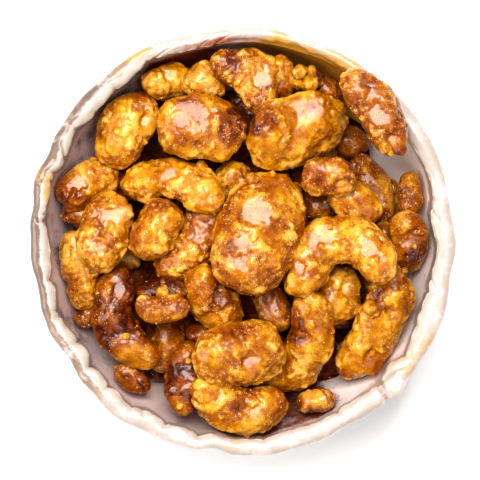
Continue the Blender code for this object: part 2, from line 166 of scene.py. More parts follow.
# In the order in which they fell. kind is the coat, and burn is how far its sugar browned, from 0 to 1.
# x and y are the middle of the bent middle line, length is along that line, back is the direction that the
# nut's back faces, and bend is how far its ends turn. With a taper, one end is thinner.
NUTS = rows(
    Nut,
    # low, at the wall and in the gaps
    ("low", 0.66, 2.0, 41.0, 14.0, 9.0, 60, 20),
    ("low", 0.54, 25.5, 46.5, 10.5, 8.0, 45, 20),
    ("dark", 0.52, 33.5, 31.0, 12.5, 9.5, 61, 20),
    ("low", 0.36, 25.0, 28.5, 13.0, 8.0, 0, 0),
    ("dark", 0.50, 51.3, 15.0, 13.5, 7.0, 0, 15),
    ("dark", 0.34, 46.3, 13.5, 12.0, 5.0, 180, 10),
    ("amber", 0.50, 40.6, 16.0, 25.0, 10.5, 22, 35),
    ("low", 0.50, 24.0, 11.5, 14.0, 10.0, 90, 0),
    ("dark", 0.54, -34.7, -43.0, 13.0, 7.0, 240, 40),
    ("dark", 0.85, -28.0, -42.0, 9.0, 7.0, 270, 0),
    ("low", 0.68, -47.0, -23.0, 10.0, 6.0, 90, 0),
    ("low", 0.42, -36.0, -5.0, 10.0, 8.5, 100, 0),
    ("low", 0.42, -24.0, -31.0, 18.0, 12.5, 180, 10),
    ("low", 0.50, 9.5, -20.5, 17.0, 10.0, 10, 15),
    ("low", 0.55, 27.5, -31.0, 11.0, 6.5, 0, 0),
    ("low", 0.50, 30.5, -24.0, 11.5, 7.5, 270, 0),
    ("amber", 0.55, 22.0, -49.0, 11.5, 7.0, 280, 10),
    ("low", 0.62, -51.0, 8.0, 10.0, 7.0, 240, 0),
    ("low", 0.55, -11.0, -29.0, 14.0, 9.0, 90, 0),
    ("low", 0.48, -36.5, 17.0, 11.0, 9.0, 45, 0),
    ("low", 0.42, 43.5, 0.0, 12.0, 8.0, 0, 0),
    ("low", 0.46, 39.0, -14.5, 11.0, 8.0, 0, 0),
    ("low", 0.56, 19.4, 50.4, 11.5, 7.5, 70, 10),
    # the middle layer
    ("amber", 0.26, 34.0, 12.5, 19.0, 12.0, 50, 50),
    ("dark", 0.44, 52.3, 0.0, 18.6, 12.4, 0, 15),
    ("amber", 0.16, -48.8, 18.2, 21.5, 12.5, 124, 0),
    ("crusted", 0.16, -36.3, 35.0, 25.5, 16.0, 153, 95),
    ("crusted", 0.16, -23.7, 49.8, 15.2, 10.5, 100, 10, -0.15),
    ("crusted", 0.32, -11.5, 48.5, 13.8, 11.5, 42, 15),
    ("golden", 0.27, 11.8, 51.0, 14.0, 8.0, 0, 15),
    ("crusted", 0.10, -2.0, 18.0, 14.5, 11.0, 40, 0),
    ("crusted", 0.32, -14.0, -0.5, 31.0, 14.5, -34, 94),
    ("crusted", 0.20, -50.0, -8.5, 25.0, 12.0, 190, 10),
    ("crusted", 0.23, -42.5, 3.5, 24.5, 16.0, 165, 36),
    ("golden", 0.16, 27.9, -16.5, 18.0, 15.8, 0, 10),
    ("amber", 0.17, 43.2, -26.7, 40.4, 14.5, -25, 35),
    ("golden", 0.28, -10.0, -17.5, 24.0, 14.5, 214, 94),
    ("dark", 0.88, -24.5, -14.3, 16.5, 9.0, 90, 50),
    ("amber", 0.30, -24.5, -20.5, 18.0, 9.0, 270, 60),
    ("crusted", 0.27, -26.5, 4.0, 20.0, 14.0, 148, 15),
    # on top of them
    ("amber", 0.41, 26.0, 20.0, 17.0, 12.0, 90, 10),
    ("amber", 0.46, 40.8, 39.9, 29.4, 13.4, 33, 50),
    ("golden", 0.22, 20.0, -32.2, 40.0, 14.0, -22, 72),
    ("dark", 0.67, -17.2, -42.2, 22.4, 13.0, -6, 35),
    ("golden", 0.26, -1.8, -53.5, 33.0, 14.0, 260, 73),
    ("dark", 0.67, -39.5, -25.3, 36.5, 13.2, 199, 105),
    ("crusted", 0.16, -20.0, 19.3, 37.0, 13.0, 77, 75),
    ("crusted", 0.44, 2.5, 50.9, 26.5, 13.0, 44, 135),
    ("golden", 0.24, -13.0, 35.0, 27.0, 19.5, 90, 25),
    ("golden", 0.24, -1.2, -34.2, 28.8, 20.0, -81, 50),
    ("golden", 0.07, 16.8, 34.5, 34.6, 21.0, 107, 20, 0.15),
    ("golden", 0.22, 29.0, 1.0, 47.0, 15.2, 97, 168),
    ("crusted", 0.03, 16.5, 13.5, 13.0, 9.0, 0, 0),
    ("crusted", 0.30, 4.3, 2.3, 38.0, 26.0, 159, 40),
)
Bulge = namedtuple("Bulge", "nut x y reach push side")
# Where a nut's coat stands out or is hollow, seen from above: the middle, how far round it the bulge
# reaches, how far it pushes and towards which side
BULGES = rows(
    Bulge,
    (25, -58.0, 16.5, 6.0, 0.9, 190), (25, -52.0, 10.5, 5.0, 1.0, 240), (27, -22.5, 55.5, 5.0, 1.2, 95),
    (32, -57.0, -10.0, 4.0, 0.6, 190), (33, -43.5, -8.0, 6.0, 1.3, 290), (35, 52.0, -17.5, 6.0, 1.2, 20),
    (42, 6.5, -42.5, 5.0, 1.8, 190), (44, -1.0, -59.0, 12.0, 0.9, 268), (46, -29.5, 14.0, 5.0, 1.6, 230),
    (47, 9.0, 55.0, 6.0, 1.3, 30), (48, -8.5, 26.0, 7.0, 2.0, 320), (48, -24.0, 27.0, 6.0, 1.5, 240),
    (51, 14.5, -14.5, 6.0, 1.5, 225), (51, 23.5, -12.0, 6.0, 2.2, 340), (53, 12.5, 20.0, 7.0, 1.4, 40),
    (53, -9.5, 12.5, 6.0, -1.2, 130),
)
BIG = 20.0  # a longer nut is cut more finely
BIG_CUTS = (62, 33)  # cuts along a nut and across each side of it
SMALL_CUTS = (34, 24)
LOW_CUTS = (26, 18)
BURIED_CUTS = (15, 10)

# What each kind's coat is like: how deep its lumps and its sugar crust are, how much of it is crust, and
# how many drops of caramel set on it for each square centimetre seen from above
Coat = namedtuple("Coat", "lump crust crusty drops")
COATS = {
    "crusted": Coat(0.70, 0.36, 0.72, 1.0),
    "golden": Coat(0.62, 0.32, 0.58, 0.8),
    "amber": Coat(0.56, 0.28, 0.52, 0.8),
    "dark": Coat(0.46, 0.14, 0.30, 0.8),
    "low": Coat(0.44, 0.22, 0.52, 0.6),
}
WALL_GAP = 0.2
# On every nut: broad dents, lumps, and small knobs
DENT = 1.1
DENT_SIZE = 7.5
LUMP_SIZE = 3.4
KNOB = 0.30
KNOB_SIZE = 1.5
GRAIN_SIZE = 1.25  # of the sugar crust
DROP_RADII = (0.5, 1.2)
DROP_HEIGHT = 0.6  # of its radius
SYRUP_SIDE = np.array((-0.05, 0.18, 0.98))  # the side the syrup set smooth on, nearly the top
SHEET_FLATNESS = 0.85
SHEET_DEPTH = 2.2  # how far a sheet fills or cuts at most

Patch = namedtuple("Patch", "nut x y radius burn")
# Where a nut's coat is browner or paler than the rest of it, seen from above
SCORCHES = rows(
    Patch,
    (48, -3.5, 35.5, 6.0, 0.69), (50, 5.0, 37.0, 6.0, 0.53), (25, -55.0, 17.3, 7.0, 0.64),
    (36, -8.5, -15.5, 6.0, 0.57), (45, -34.0, -37.0, 7.0, 0.16), (24, 53.0, 0.0, 2.6, 0.35),
    (42, 15.0, -27.5, 5.0, 0.57), (49, -2.4, -27.5, 5.0, 0.47), (6, 45.5, 17.3, 2.6, 0.15),
    (4, 50.8, 19.8, 2.4, 0.25), (44, -0.9, -47.0, 4.0, 0.48), (35, 40.0, -18.0, 3.8, 0.64),
    (43, -20.6, -50.5, 3.4, 0.35), (26, -31.0, 43.0, 4.0, 0.48), (51, 18.8, -6.5, 4.5, 0.42),
    (53, -3.3, -6.0, 4.5, 0.46), (46, -20.6, 15.8, 3.0, 0.42), (41, 32.5, 41.5, 3.8, 0.61),
    (53, 14.5, 12.5, 6.0, 0.10), (52, 16.5, 13.5, 8.0, 0.05),
)
# Where the sugar set white; some of these pale patches are painted highlights
FROSTS_AND_HIGHLIGHTS = rows(
    Patch,
    (28, -11.5, 51.0, 6.0, 0.55), (26, -28.0, 37.0, 5.0, 0.45), (26, -36.0, 33.5, 7.0, 0.40),
    (46, -12.0, 17.0, 3.2, 0.85), (46, -18.0, 18.5, 4.5, 0.50), (11, -33.0, -4.8, 3.0, 0.90),
    (32, -49.4, -6.0, 3.4, 0.85), (40, 31.0, 15.8, 2.4, 0.80), (16, 20.9, -47.3, 3.2, 0.85),
    (42, 7.6, -43.3, 3.0, 0.80), (42, 17.9, -37.3, 2.0, 0.80), (47, 3.6, 50.6, 4.5, 0.45),
    (33, -37.9, 6.0, 4.5, 0.50), (25, -49.4, 21.8, 5.0, 0.45),
)

Sheen = namedtuple("Sheen", "nut x y radius")
# Where the syrup set in a level, glassy sheet that shines as one piece
SHEENS = rows(
    Sheen,
    (50, 18.0, 39.0, 9.0), (48, -16.0, 39.0, 6.0), (27, -22.5, 51.0, 2.2), (26, -28.0, 36.5, 3.2),
    (47, 5.5, 50.0, 3.6), (53, 3.6, 9.0, 4.2), (53, -1.0, 0.5, 3.0), (52, 14.5, 20.0, 2.4),
    (51, 25.0, 1.5, 5.0), (51, 38.0, -3.0, 3.0), (51, 17.5, -7.5, 2.2), (46, -22.0, 21.0, 3.0),
    (33, -39.5, 8.0, 4.8), (25, -52.0, 19.5, 5.0), (49, 2.5, -37.0, 3.6), (35, 40.5, -36.5, 3.4),
    (35, 47.0, -22.0, 2.6), (34, 32.0, -14.0, 3.0), (42, 18.0, -31.0, 2.6), (43, -18.0, -40.0, 1.6),
    (43, -21.5, -45.0, 1.3), (45, -37.5, -15.0, 2.8), (41, 41.0, 38.0, 3.4), (41, 45.5, 30.0, 2.8),
    (36, -7.0, -17.0, 2.4), (44, 3.0, -52.0, 3.0), (24, 51.5, -1.0, 3.6),
)

Crumb = namedtuple("Crumb", "x y radius burn")
CRUMBS = rows(
    Crumb,
    (16.7, 48.4, 1.8, 0.05), (20.3, 48.4, 2.6, 0.05), (17.5, 52.0, 2.3, 0.20), (20.7, 52.3, 1.7, 0.10),
    (-24.5, -15.3, 2.1, 0.15), (39.0, -20.0, 2.3, 0.20), (42.5, 28.5, 1.8, 0.20), (3.0, 19.0, 2.0, 0.30),
    (-12.5, 23.0, 1.9, 0.25),
)
# Smaller crumbs that lie on the nuts
MORSELS = rows(
    Crumb,
    (-35.8, -29.0, 1.2, 0.10), (-16.7, -36.4, 1.0, 0.12), (-19.1, -50.0, 1.1, 0.15),
    (44.2, 27.0, 1.0, 0.18), (-27.5, -30.0, 0.8, 0.20), (26.4, 4.5, 0.9, 0.20), (30.5, 1.8, 0.8, 0.20),
    (33.0, 5.0, 0.9, 0.25), (9.0, 20.5, 1.0, 0.25), (13.5, 21.0, 0.9, 0.20), (17.5, 17.5, 1.0, 0.25),
    (18.0, 10.0, 0.9, 0.15), (-1.5, 2.0, 0.8, 0.15), (5.0, 4.0, 0.7, 0.20), (22.5, -10.5, 0.8, 0.20),
    (-41.0, 13.0, 0.8, 0.30), (52.5, -1.5, 0.8, 0.10), (49.0, -9.0, 1.1, 0.45),
)
# Strands of syrup that set across the nuts, by the spots they pass over
STRANDS = (
    ((42.6, -14.2), (42.9, -16.8), (41.5, -18.9), (42.2, -20.5), (41.4, -22.6), (39.6, -23.4)),
    ((23.3, -45.2), (24.8, -46.1), (26.0, -48.2)),
    ((-0.8, 22.6), (-0.4, 20.8), (0.6, 19.2)),
)
STRAND_RADIUS = 0.28
STRAND_CUTS = (10, 40)  # round a strand and along it

# Under the nuts: how far the core is sunk, how fine it is, and the nuts that show only in the gaps
CORE_SINK = 3.0
CORE_STEPS = 96
CORE_CUTS = (12, 30)  # up the wall and in to the middle
BURIED = 38
BURIED_REACH = 44.0
BURIED_BURN = 0.88

GRAINS = 650  # of loose sugar
GRAIN_RADII = (0.14, 0.34)
HEAP_REACH = 60.0
# The crystals' pale specks are sugar and also painted glints
CRYSTAL_GLINT = 0.55  # across a sugar crystal; real ones are half that, which would be too fine to show
# Across the sugar's other patterns: browned blotches, marbling, flecks, and two sizes of grit
BLOTCH, MARBLE, FLECK, COARSE, FINE = 3.2, 1.9, 0.55, 0.9, 0.35
GLAZE_CLOUD, GLAZE_GRIT = 8.0, 1.3

# Where each lamp stands, in metres, how wide it is, and its power in watts
Lamp = namedtuple("Lamp", "name spot size power")
LAMPS = (
    Lamp("key_softbox", (-0.10, 0.34, 0.92), 0.62, 7.3),
    Lamp("fill_softbox", (0.32, -0.30, 0.90), 0.55, 1.2),
    Lamp("side_softbox", (-0.70, -0.05, 0.60), 0.50, 2.4),
    Lamp("bare_lamp", (0.22, 0.46, 0.85), 0.06, 1.1),
)
STUDIO = 0.46  # how bright the white walls are
FLOOR_REACH = 1.5  # in metres
SENSOR = 36
CENTRE = (-0.91, 0.61)  # what the camera looks down on


def linear(colour):
    """An sRGB hex colour as linear red, green and blue."""
    parts = [int(colour[place : place + 2], 16) / 255 for place in (1, 3, 5)]
    return [part / 12.92 if part <= 0.04045 else ((part + 0.055) / 1.055) ** 2.4 for part in parts]


# ---- The bowl's wall and the nuts' places


def wrapped(degrees):
    return (degrees + 180) % 360 - 180


def hump(angle, pinch):
    away = abs(wrapped(math.degrees(angle) - pinch.side))
    return pinch.push * math.cos(math.pi / 2 * min(away / pinch.spread, 1)) ** 2


def rim_radius(angle):
    return RIM_RADIUS + sum(hump(angle, pinch) for pinch in PINCHES)


def lobe(angle):
    """1 in the middle of a lobe of the rolled rim and 0 in the notch between two."""
    degrees = math.degrees(angle)
    notches = [notch + turn for turn in (-360, 0, 360) for notch in NOTCHES]
    before = max(notch for notch in notches if notch <= degrees)
    after = min(notch for notch in notches if notch > degrees)
    return math.sqrt(math.sin(math.pi * (degrees - before) / (after - before)))


def lip_width(angle):
    return LIP_WIDTH + LOBE * (lobe(angle) - 0.5) + sum(hump(angle, roll) for roll in ROLLS)


def inner_reach(angle):
    return rim_radius(angle) - WALL - FLOOR_RADIUS


def inside(angle, rise):
    turn = math.pi / 2 * rise
    height = RIM_HEIGHT - LIP_THICKNESS - FLOOR
    return FLOOR_RADIUS + inner_reach(angle) * math.sin(turn), FLOOR + height * (1 - math.cos(turn))


def outside(angle, rise):
    turn = math.pi / 2 * rise
    reach = rim_radius(angle) - ROLL_BULGE - FOOT_RADIUS
    height = RIM_HEIGHT - LIP_THICKNESS - FOOT_HEIGHT
    return FOOT_RADIUS + reach * math.sin(turn), FOOT_HEIGHT + height * (1 - math.cos(turn))


def kept_inside(spots):
    """Spots of the heap, in millimetres, none further out or down than the bowl's inner wall."""
    degrees = np.round(np.degrees(np.arctan2(spots[:, 1], spots[:, 0]))).astype(int) % 360
    reach = np.array([inner_reach(math.radians(side)) for side in range(360)])[degrees]
    rise = (spots[:, 2] - FLOOR) / (RIM_HEIGHT - LIP_THICKNESS - FLOOR)
    turn = np.arccos(np.clip(1 - rise, -1, 1))
    limit = FLOOR_RADIUS + reach * np.sin(turn) - WALL_GAP
    limit = np.where(rise < 0.95, limit, np.inf)
    shrink = np.minimum(1, limit / np.maximum(np.hypot(spots[:, 0], spots[:, 1]), 1))
    height = np.maximum(spots[:, 2], FLOOR + WALL_GAP)
    return np.column_stack([spots[:, 0] * shrink, spots[:, 1] * shrink, height])


def lip(angle, part):
    turn = math.radians(LIP_START + LIP_TURN * part)
    radius = rim_radius(angle) - lip_width(angle) / 2 * (1 - math.cos(turn))
    return radius, RIM_HEIGHT - LIP_THICKNESS / 2 * (1 - math.sin(turn))


def bowl_section(angle):
    """Radii and heights from the middle of the foot, up the outside, over the rim and down to the floor."""
    points = [(0, 0), (FOOT_RADIUS - FOOT_EDGE, 0)]
    points += [outside(angle, step / WALL_STEPS) for step in range(WALL_STEPS + 1)]
    points += [lip(angle, step / LIP_STEPS) for step in range(LIP_STEPS + 1)]
    points += [inside(angle, 1 - step / WALL_STEPS) for step in range(WALL_STEPS + 1)]
    return points + [(0, FLOOR)]


def turned(sections):
    """A solid spun round +Z from its sections, of which there is one for each step."""
    steps = len(sections)
    bm = bmesh.new()
    ring = bm.verts.layers.int.new("ring")
    line = [bm.verts.new((radius, 0, height)) for radius, height in sections[0]]
    for number, vert in enumerate(line):
        vert[ring] = number
    edges = [bm.edges.new(pair) for pair in itertools.pairwise(line)]
    axis = {"axis": (0, 0, 1), "cent": (0, 0, 0)}
    bmesh.ops.spin(bm, geom=line + edges, angle=math.tau, steps=steps, use_merge=True, **axis)
    for vert in bm.verts:
        step = round(math.atan2(vert.co.y, vert.co.x) / math.tau * steps) % steps
        radius, height = sections[step][vert[ring]]
        angle = math.tau * step / steps
        vert.co = (radius * math.cos(angle), radius * math.sin(angle), height)
    bmesh.ops.remove_doubles(bm, verts=bm.verts, dist=0.001)
    bmesh.ops.recalc_face_normals(bm, faces=bm.faces)
    return bm


def dome(radius):
    return CORE_TOP - CORE_FALL * radius**2


def thickness(nut):
    return NUT_THICKNESS * (min(nut.width, BROAD) + max(nut.width - BROAD, 0) / 3)


def swell(nut, along):
    return np.sqrt(np.maximum(1 - np.abs(along) ** 3, 0)) * (1 - nut.taper * along)


def middle_line(nut, along):
    """Points of the bent middle line, as x and y, and its direction at each."""
    turns = -math.radians(nut.bend) / 2 * np.sin(math.pi / 2 * np.linspace(0, along, LINE_STEPS))
    reach = nut.length / 2 * along
    return reach * np.cos(turns).mean(axis=0), reach * np.sin(turns).mean(axis=0), turns[-1]


def in_place(nut, tilt, roll, slide):
    lean = Matrix.Rotation(math.radians(tilt), 4, "Y") @ Matrix.Rotation(math.radians(roll), 4, "X")
    spot = Vector((nut.x, nut.y, 0)) * (1 - slide / math.hypot(nut.x, nut.y))
    return Matrix.Translation(spot) @ Matrix.Rotation(math.radians(nut.back - 90), 4, "Z") @ lean


def balls(nut):
    made = []
    for step in range(-3, 4):
        along = BALL_STEP * step
        x, y, turn = middle_line(nut, along)
        radius = thickness(nut) / 2 * swell(nut, along)
        spare = nut.width / 2 * swell(nut, along) - radius
        for side in (-1, 0, 1):
            made.append((x - math.sin(turn) * side * spare, y + math.cos(turn) * side * spare, 0, radius))
    return np.array(made)


def landing_balls():
    made = []
    for angle in np.linspace(0, math.tau, LANDING_STEPS, endpoint=False):
        line = [inside(angle, rise) for rise in np.linspace(0.2, 1, 24)]
        line += [lip(angle, part) for part in np.linspace(0.1, 1, 9)]
        for radius, z in line:
            made.append((radius * math.cos(angle), radius * math.sin(angle), z, SINK + BOWL_GAP))
    grid = np.arange(-CORE_REACH, CORE_REACH, LANDING_GRID)
    made += [(x, y, dome(math.hypot(x, y)), 0) for x in grid for y in grid if math.hypot(x, y) < CORE_REACH]
    return np.array(made)


def rest_height(loose, fixed):
    away = np.hypot(loose[:, None, 0] - fixed[None, :, 0], loose[:, None, 1] - fixed[None, :, 1])
    reach = loose[:, None, 3] + fixed[None, :, 3] - SINK
    rise = np.sqrt(np.maximum(reach**2 - away**2, 0))
    return np.where(away < reach, fixed[None, :, 2] + rise - loose[:, None, 2], 0).max()


def moved(loose, matrix):
    centres = loose[:, :3] @ np.array(matrix.to_3x3()).T + np.array(matrix.translation)
    return np.hstack([centres, loose[:, 3:]])


@cache
def settled():
    """Each nut's matrix, and the balls of the whole heap: the same fall as the model's."""
    fixed = landing_balls()
    ground = len(fixed)
    places = []
    for nut in NUTS:
        loose = balls(nut)
        near = fixed[np.hypot(fixed[:, 0] - nut.x, fixed[:, 1] - nut.y) < nut.length]
        tries = []
        for tilt, roll, slide in itertools.product(TILTS, TILTS, SLIDES):
            place = in_place(nut, tilt, roll, slide)
            height = rest_height(moved(loose, place), near)
            cost = height + TILT_COST * math.hypot(tilt, roll) + SLIDE_COST * slide
            tries.append((cost, len(tries), height, place))
        height, place = min(tries)[2:]
        places.append(Matrix.Translation((0, 0, height)) @ place)
        fixed = np.vstack([fixed, moved(loose, places[-1])])
    return places, fixed[ground:]


# ---- Meshes


def finish(name, mesh, material, node="cashew_heap"):
    """Puts a finished mesh, in millimetres, into the scene, on the body, for the model's node."""
    mesh.transform(Matrix.Scale(MM, 4))
    mesh.shade_smooth()
    mesh.materials.append(material)
    obj = bpy.data.objects.new(name, mesh)
    bpy.context.scene.collection.objects.link(obj)
    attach(obj, "root")
    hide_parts(node)


def modelled(bm, name):
    """A mesh of what was modelled."""
    mesh = bpy.data.meshes.new(name)
    bm.to_mesh(mesh)
    bm.free()
    return mesh


def read(values, field):
    numbers = np.empty(len(values) * 3, np.float32)
    values.foreach_get(field, numbers)
    return numbers.reshape(-1, 3).astype(float)


def places_of(mesh):
    return read(mesh.vertices, "co")


def normals_of(mesh):
    return read(mesh.vertex_normals, "vector")


def move_to(mesh, spots):
    mesh.vertices.foreach_set("co", spots.astype(np.float32).ravel())
    mesh.update()


def paint(mesh, **layers):
    """Keeps numbers for each vertex, or one for all, which the material reads by the layer's name."""
    for name, values in layers.items():
        layer = mesh.attributes.new(name, "FLOAT", "POINT")
        layer.data.foreach_set("value", np.full(len(mesh.vertices), values, np.float32))


def lumps(spots, size, seed):
    """Smooth noise from -1 to 1 whose lumps are `size` millimetres apart."""
    return np.array([noise.noise(spot) for spot in (spots / size + (0, 0, seed)).tolist()])


def waves(spots, layers):
    """Lumps of several heights and sizes, added up."""
    return sum(height * lumps(spots, size, seed) for height, size, seed in layers)


def pebbles(spots, size, seed):
    """Rounded grains `size` millimetres apart: 1 at the middle of each and 0 between them."""
    away = np.array([noise.voronoi(spot)[0][0] for spot in (spots / size + (0, 0, seed)).tolist()])
    return np.sqrt(np.maximum(1 - (away / 0.75) ** 2, 0))


def smooth(values, low, high):
    part = np.clip((values - low) / (high - low), 0, 1)
    return part * part * (3 - 2 * part)


def ball(cuts):
    """A ball of even faces without poles: a cube cut along X and then across, and blown up."""
    bm = bmesh.new()
    bmesh.ops.create_cube(bm, size=2)
    for axis, number in enumerate((cuts[0], cuts[1], cuts[1])):
        edges = [edge for edge in bm.edges if abs(edge.verts[0].co[axis] - edge.verts[1].co[axis]) > 1]
        bmesh.ops.subdivide_edges(bm, edges=edges, cuts=number, use_grid_fill=True)
    for vert in bm.verts:
        x, y, z = (part * part for part in vert.co)
        vert.co.x *= math.sqrt(1 - y / 2 - z / 2 + y * z / 3)
        vert.co.y *= math.sqrt(1 - z / 2 - x / 2 + z * x / 3)
        vert.co.z *= math.sqrt(1 - x / 2 - y / 2 + x * y / 3)
    return modelled(bm, "ball")


def blob(radius, subdivisions):
    bm = bmesh.new()
    bmesh.ops.create_icosphere(bm, subdivisions=subdivisions, radius=radius)
    return modelled(bm, "blob")


def from_above(spots, mark):
    """How far each spot is from a mark on the nuts, seen from above."""
    return np.hypot(spots[:, 0] - mark.x, spots[:, 1] - mark.y)


def patched(number, patches, spots, ragged, values):
    """values, changed inside the nut's own patches, whose edges are ragged."""
    for patch in patches:
        if patch.nut == number:
            away = from_above(spots, patch) + ragged
            share = smooth(away, patch.radius * 1.25, patch.radius * 0.6)
            values = values + share * (patch.burn - values)
    return values


def drops(spots, normals, coat, random):
    """Rounded drops of set caramel, as how far each vertex stands out."""
    upper = np.flatnonzero(normals[:, 2] > -0.2)
    seen = np.ptp(spots[:, 0]) * np.ptp(spots[:, 1]) / 100
    rise = np.zeros(len(spots))
    for number in random.choice(upper, int(coat.drops * seen), replace=False):
        radius = random.uniform(*DROP_RADII)
        away = np.linalg.norm(spots - spots[number], axis=1) / radius
        rise = np.maximum(rise, DROP_HEIGHT * radius * np.sqrt(np.maximum(1 - away**2, 0)))
    return rise


def bulged(spots, number):
    for bulge in BULGES:
        if bulge.nut == number:
            away = from_above(spots, bulge) / bulge.reach
            push = bulge.push * np.cos(math.pi / 2 * np.minimum(away, 1)) ** 2
            side = math.radians(bulge.side)
            spots = spots + push[:, None] * (math.cos(side), math.sin(side), 0)
    return spots


def nut_mesh(nut, place, number, template):
    """A bent nut in its lumpy coat, in the heap's own millimetres."""
    coat = COATS[nut.kind]
    random = np.random.default_rng(number)
    mesh = template.copy()
    spots = places_of(mesh)
    along = np.clip(spots[:, 0], -1, 1)
    around = np.arctan2(spots[:, 2], spots[:, 1])
    x, y, turn = middle_line(nut, along)
    width = nut.width / 2 * swell(nut, along) * np.cos(around)
    height = thickness(nut) / 2 * swell(nut, along) * np.sin(around)
    spots = np.column_stack([x - np.sin(turn) * width, y + np.cos(turn) * width, height])
    move_to(mesh, spots)
    move_to(mesh, spots + normals_of(mesh) * (CRAG * lumps(spots, CRAG_SIZE, number))[:, None])
    mesh.transform(place)
    spots = bulged(places_of(mesh), number)
    move_to(mesh, spots)
    normals = normals_of(mesh)
    ragged = lumps(spots, LUMP_SIZE, number + 20)
    knobs = lumps(spots, KNOB_SIZE, number + 21)
    crusty = smooth(lumps(spots, CRAG_SIZE, number + 40) + coat.crusty - 0.5, -0.15, 0.2)
    grains = pebbles(spots, GRAIN_SIZE, number)
    # smooth, glassy syrup with blobs here and there, and crystals on the crusty parts
    dents = DENT * lumps(spots, DENT_SIZE, number + 30)
    height = spots @ SYRUP_SIDE
    level, sheet = dents, np.zeros(len(spots))
    for sheen in (sheen for sheen in SHEENS if sheen.nut == number):
        away = from_above(spots, sheen) / sheen.radius
        share = smooth(away + 0.6 * ragged + 0.4 * knobs, 1.45, 0.55) * smooth(normals[:, 2], 0.2, 0.5)
        flat = np.clip(np.average(height, weights=share + 1e-9) - height, -SHEET_DEPTH, SHEET_DEPTH)
        level = level + (flat - level) * share * SHEET_FLATNESS
        sheet = np.maximum(sheet, share)
    crusty *= (1 - 0.5 * smooth(normals @ SYRUP_SIDE, 0.80, 0.97)) * (1 - sheet)
    rough = (0.5 + 0.5 * crusty) * (1 - 0.7 * sheet)
    rise = coat.lump * rough * (0.5 * ragged + np.abs(ragged) - 0.25) + KNOB * rough * knobs
    rise += coat.crust * crusty * (grains - 0.6)
    beads = drops(spots, normals, coat, random)
    move_to(mesh, kept_inside(spots + normals * (level + rise + beads)[:, None]))
    burn = nut.burn + 0.13 * lumps(spots, 4.5, number + 80) + 0.10 * lumps(spots, 1.6, number + 81)
    paint(
        mesh,
        burn=np.clip(patched(number, SCORCHES, spots, ragged * 2, burn), 0, 1),
        # white sugar, and pale patches that are painted highlights
        frost=patched(number, FROSTS_AND_HIGHLIGHTS, spots, ragged * 2, np.zeros(len(spots))),
        crest=np.clip(0.5 + (rise + 0.4 * dents + 0.5 * beads) / 0.8 - 0.2 * sheet, 0, 1),
        crusty=crusty,
        # paler along the steep sides: a painted reflection of the bright surroundings
        skirt=smooth(normals[:, 2], 0.5, 0.15) * smooth(normals[:, 2], -0.35, 0.0),
    )
    return mesh


def joined(meshes, name):
    bm = bmesh.new()
    for mesh in meshes:
        bm.from_mesh(mesh)
        bpy.data.meshes.remove(mesh)
    return modelled(bm, name)


# ---- Materials


def add(tree, kind, inputs=(), output=0, stops=(), **settings):
    """Adds a shader node with its settings, its ramp's stops, and a value or a link for each input, and
    returns one of its outputs."""
    node = tree.nodes.new("ShaderNode" + kind)
    for name, value in settings.items():
        setattr(node, name, value)
    for name, value in dict(inputs).items():
        if isinstance(value, bpy.types.NodeSocket):
            tree.links.new(value, node.inputs[name])
        else:
            node.inputs[name].default_value = value
    for number, (place, colour) in enumerate(stops):
        ramp = node.color_ramp.elements
        stop = ramp[number] if number < 2 else ramp.new(place)
        stop.position = place
        stop.color = (*colour, 1)
    return node.outputs[output]


def new_material(name):
    """An empty material, its nodes, and the input that takes its shader."""
    material = bpy.data.materials.new(name)
    material.use_nodes = True
    tree = material.node_tree
    tree.nodes.remove(tree.nodes["Principled BSDF"])
    return material, tree, tree.nodes["Material Output"].inputs["Surface"]


def sums(tree, *terms):
    """The sum of products, each of a socket and a number or another socket, and of plain numbers."""
    total = sum(term for term in terms if not isinstance(term, tuple))
    for socket, factor in (term for term in terms if isinstance(term, tuple)):
        total = add(tree, "Math", {0: socket, 1: factor, 2: total}, operation="MULTIPLY_ADD")
    return total


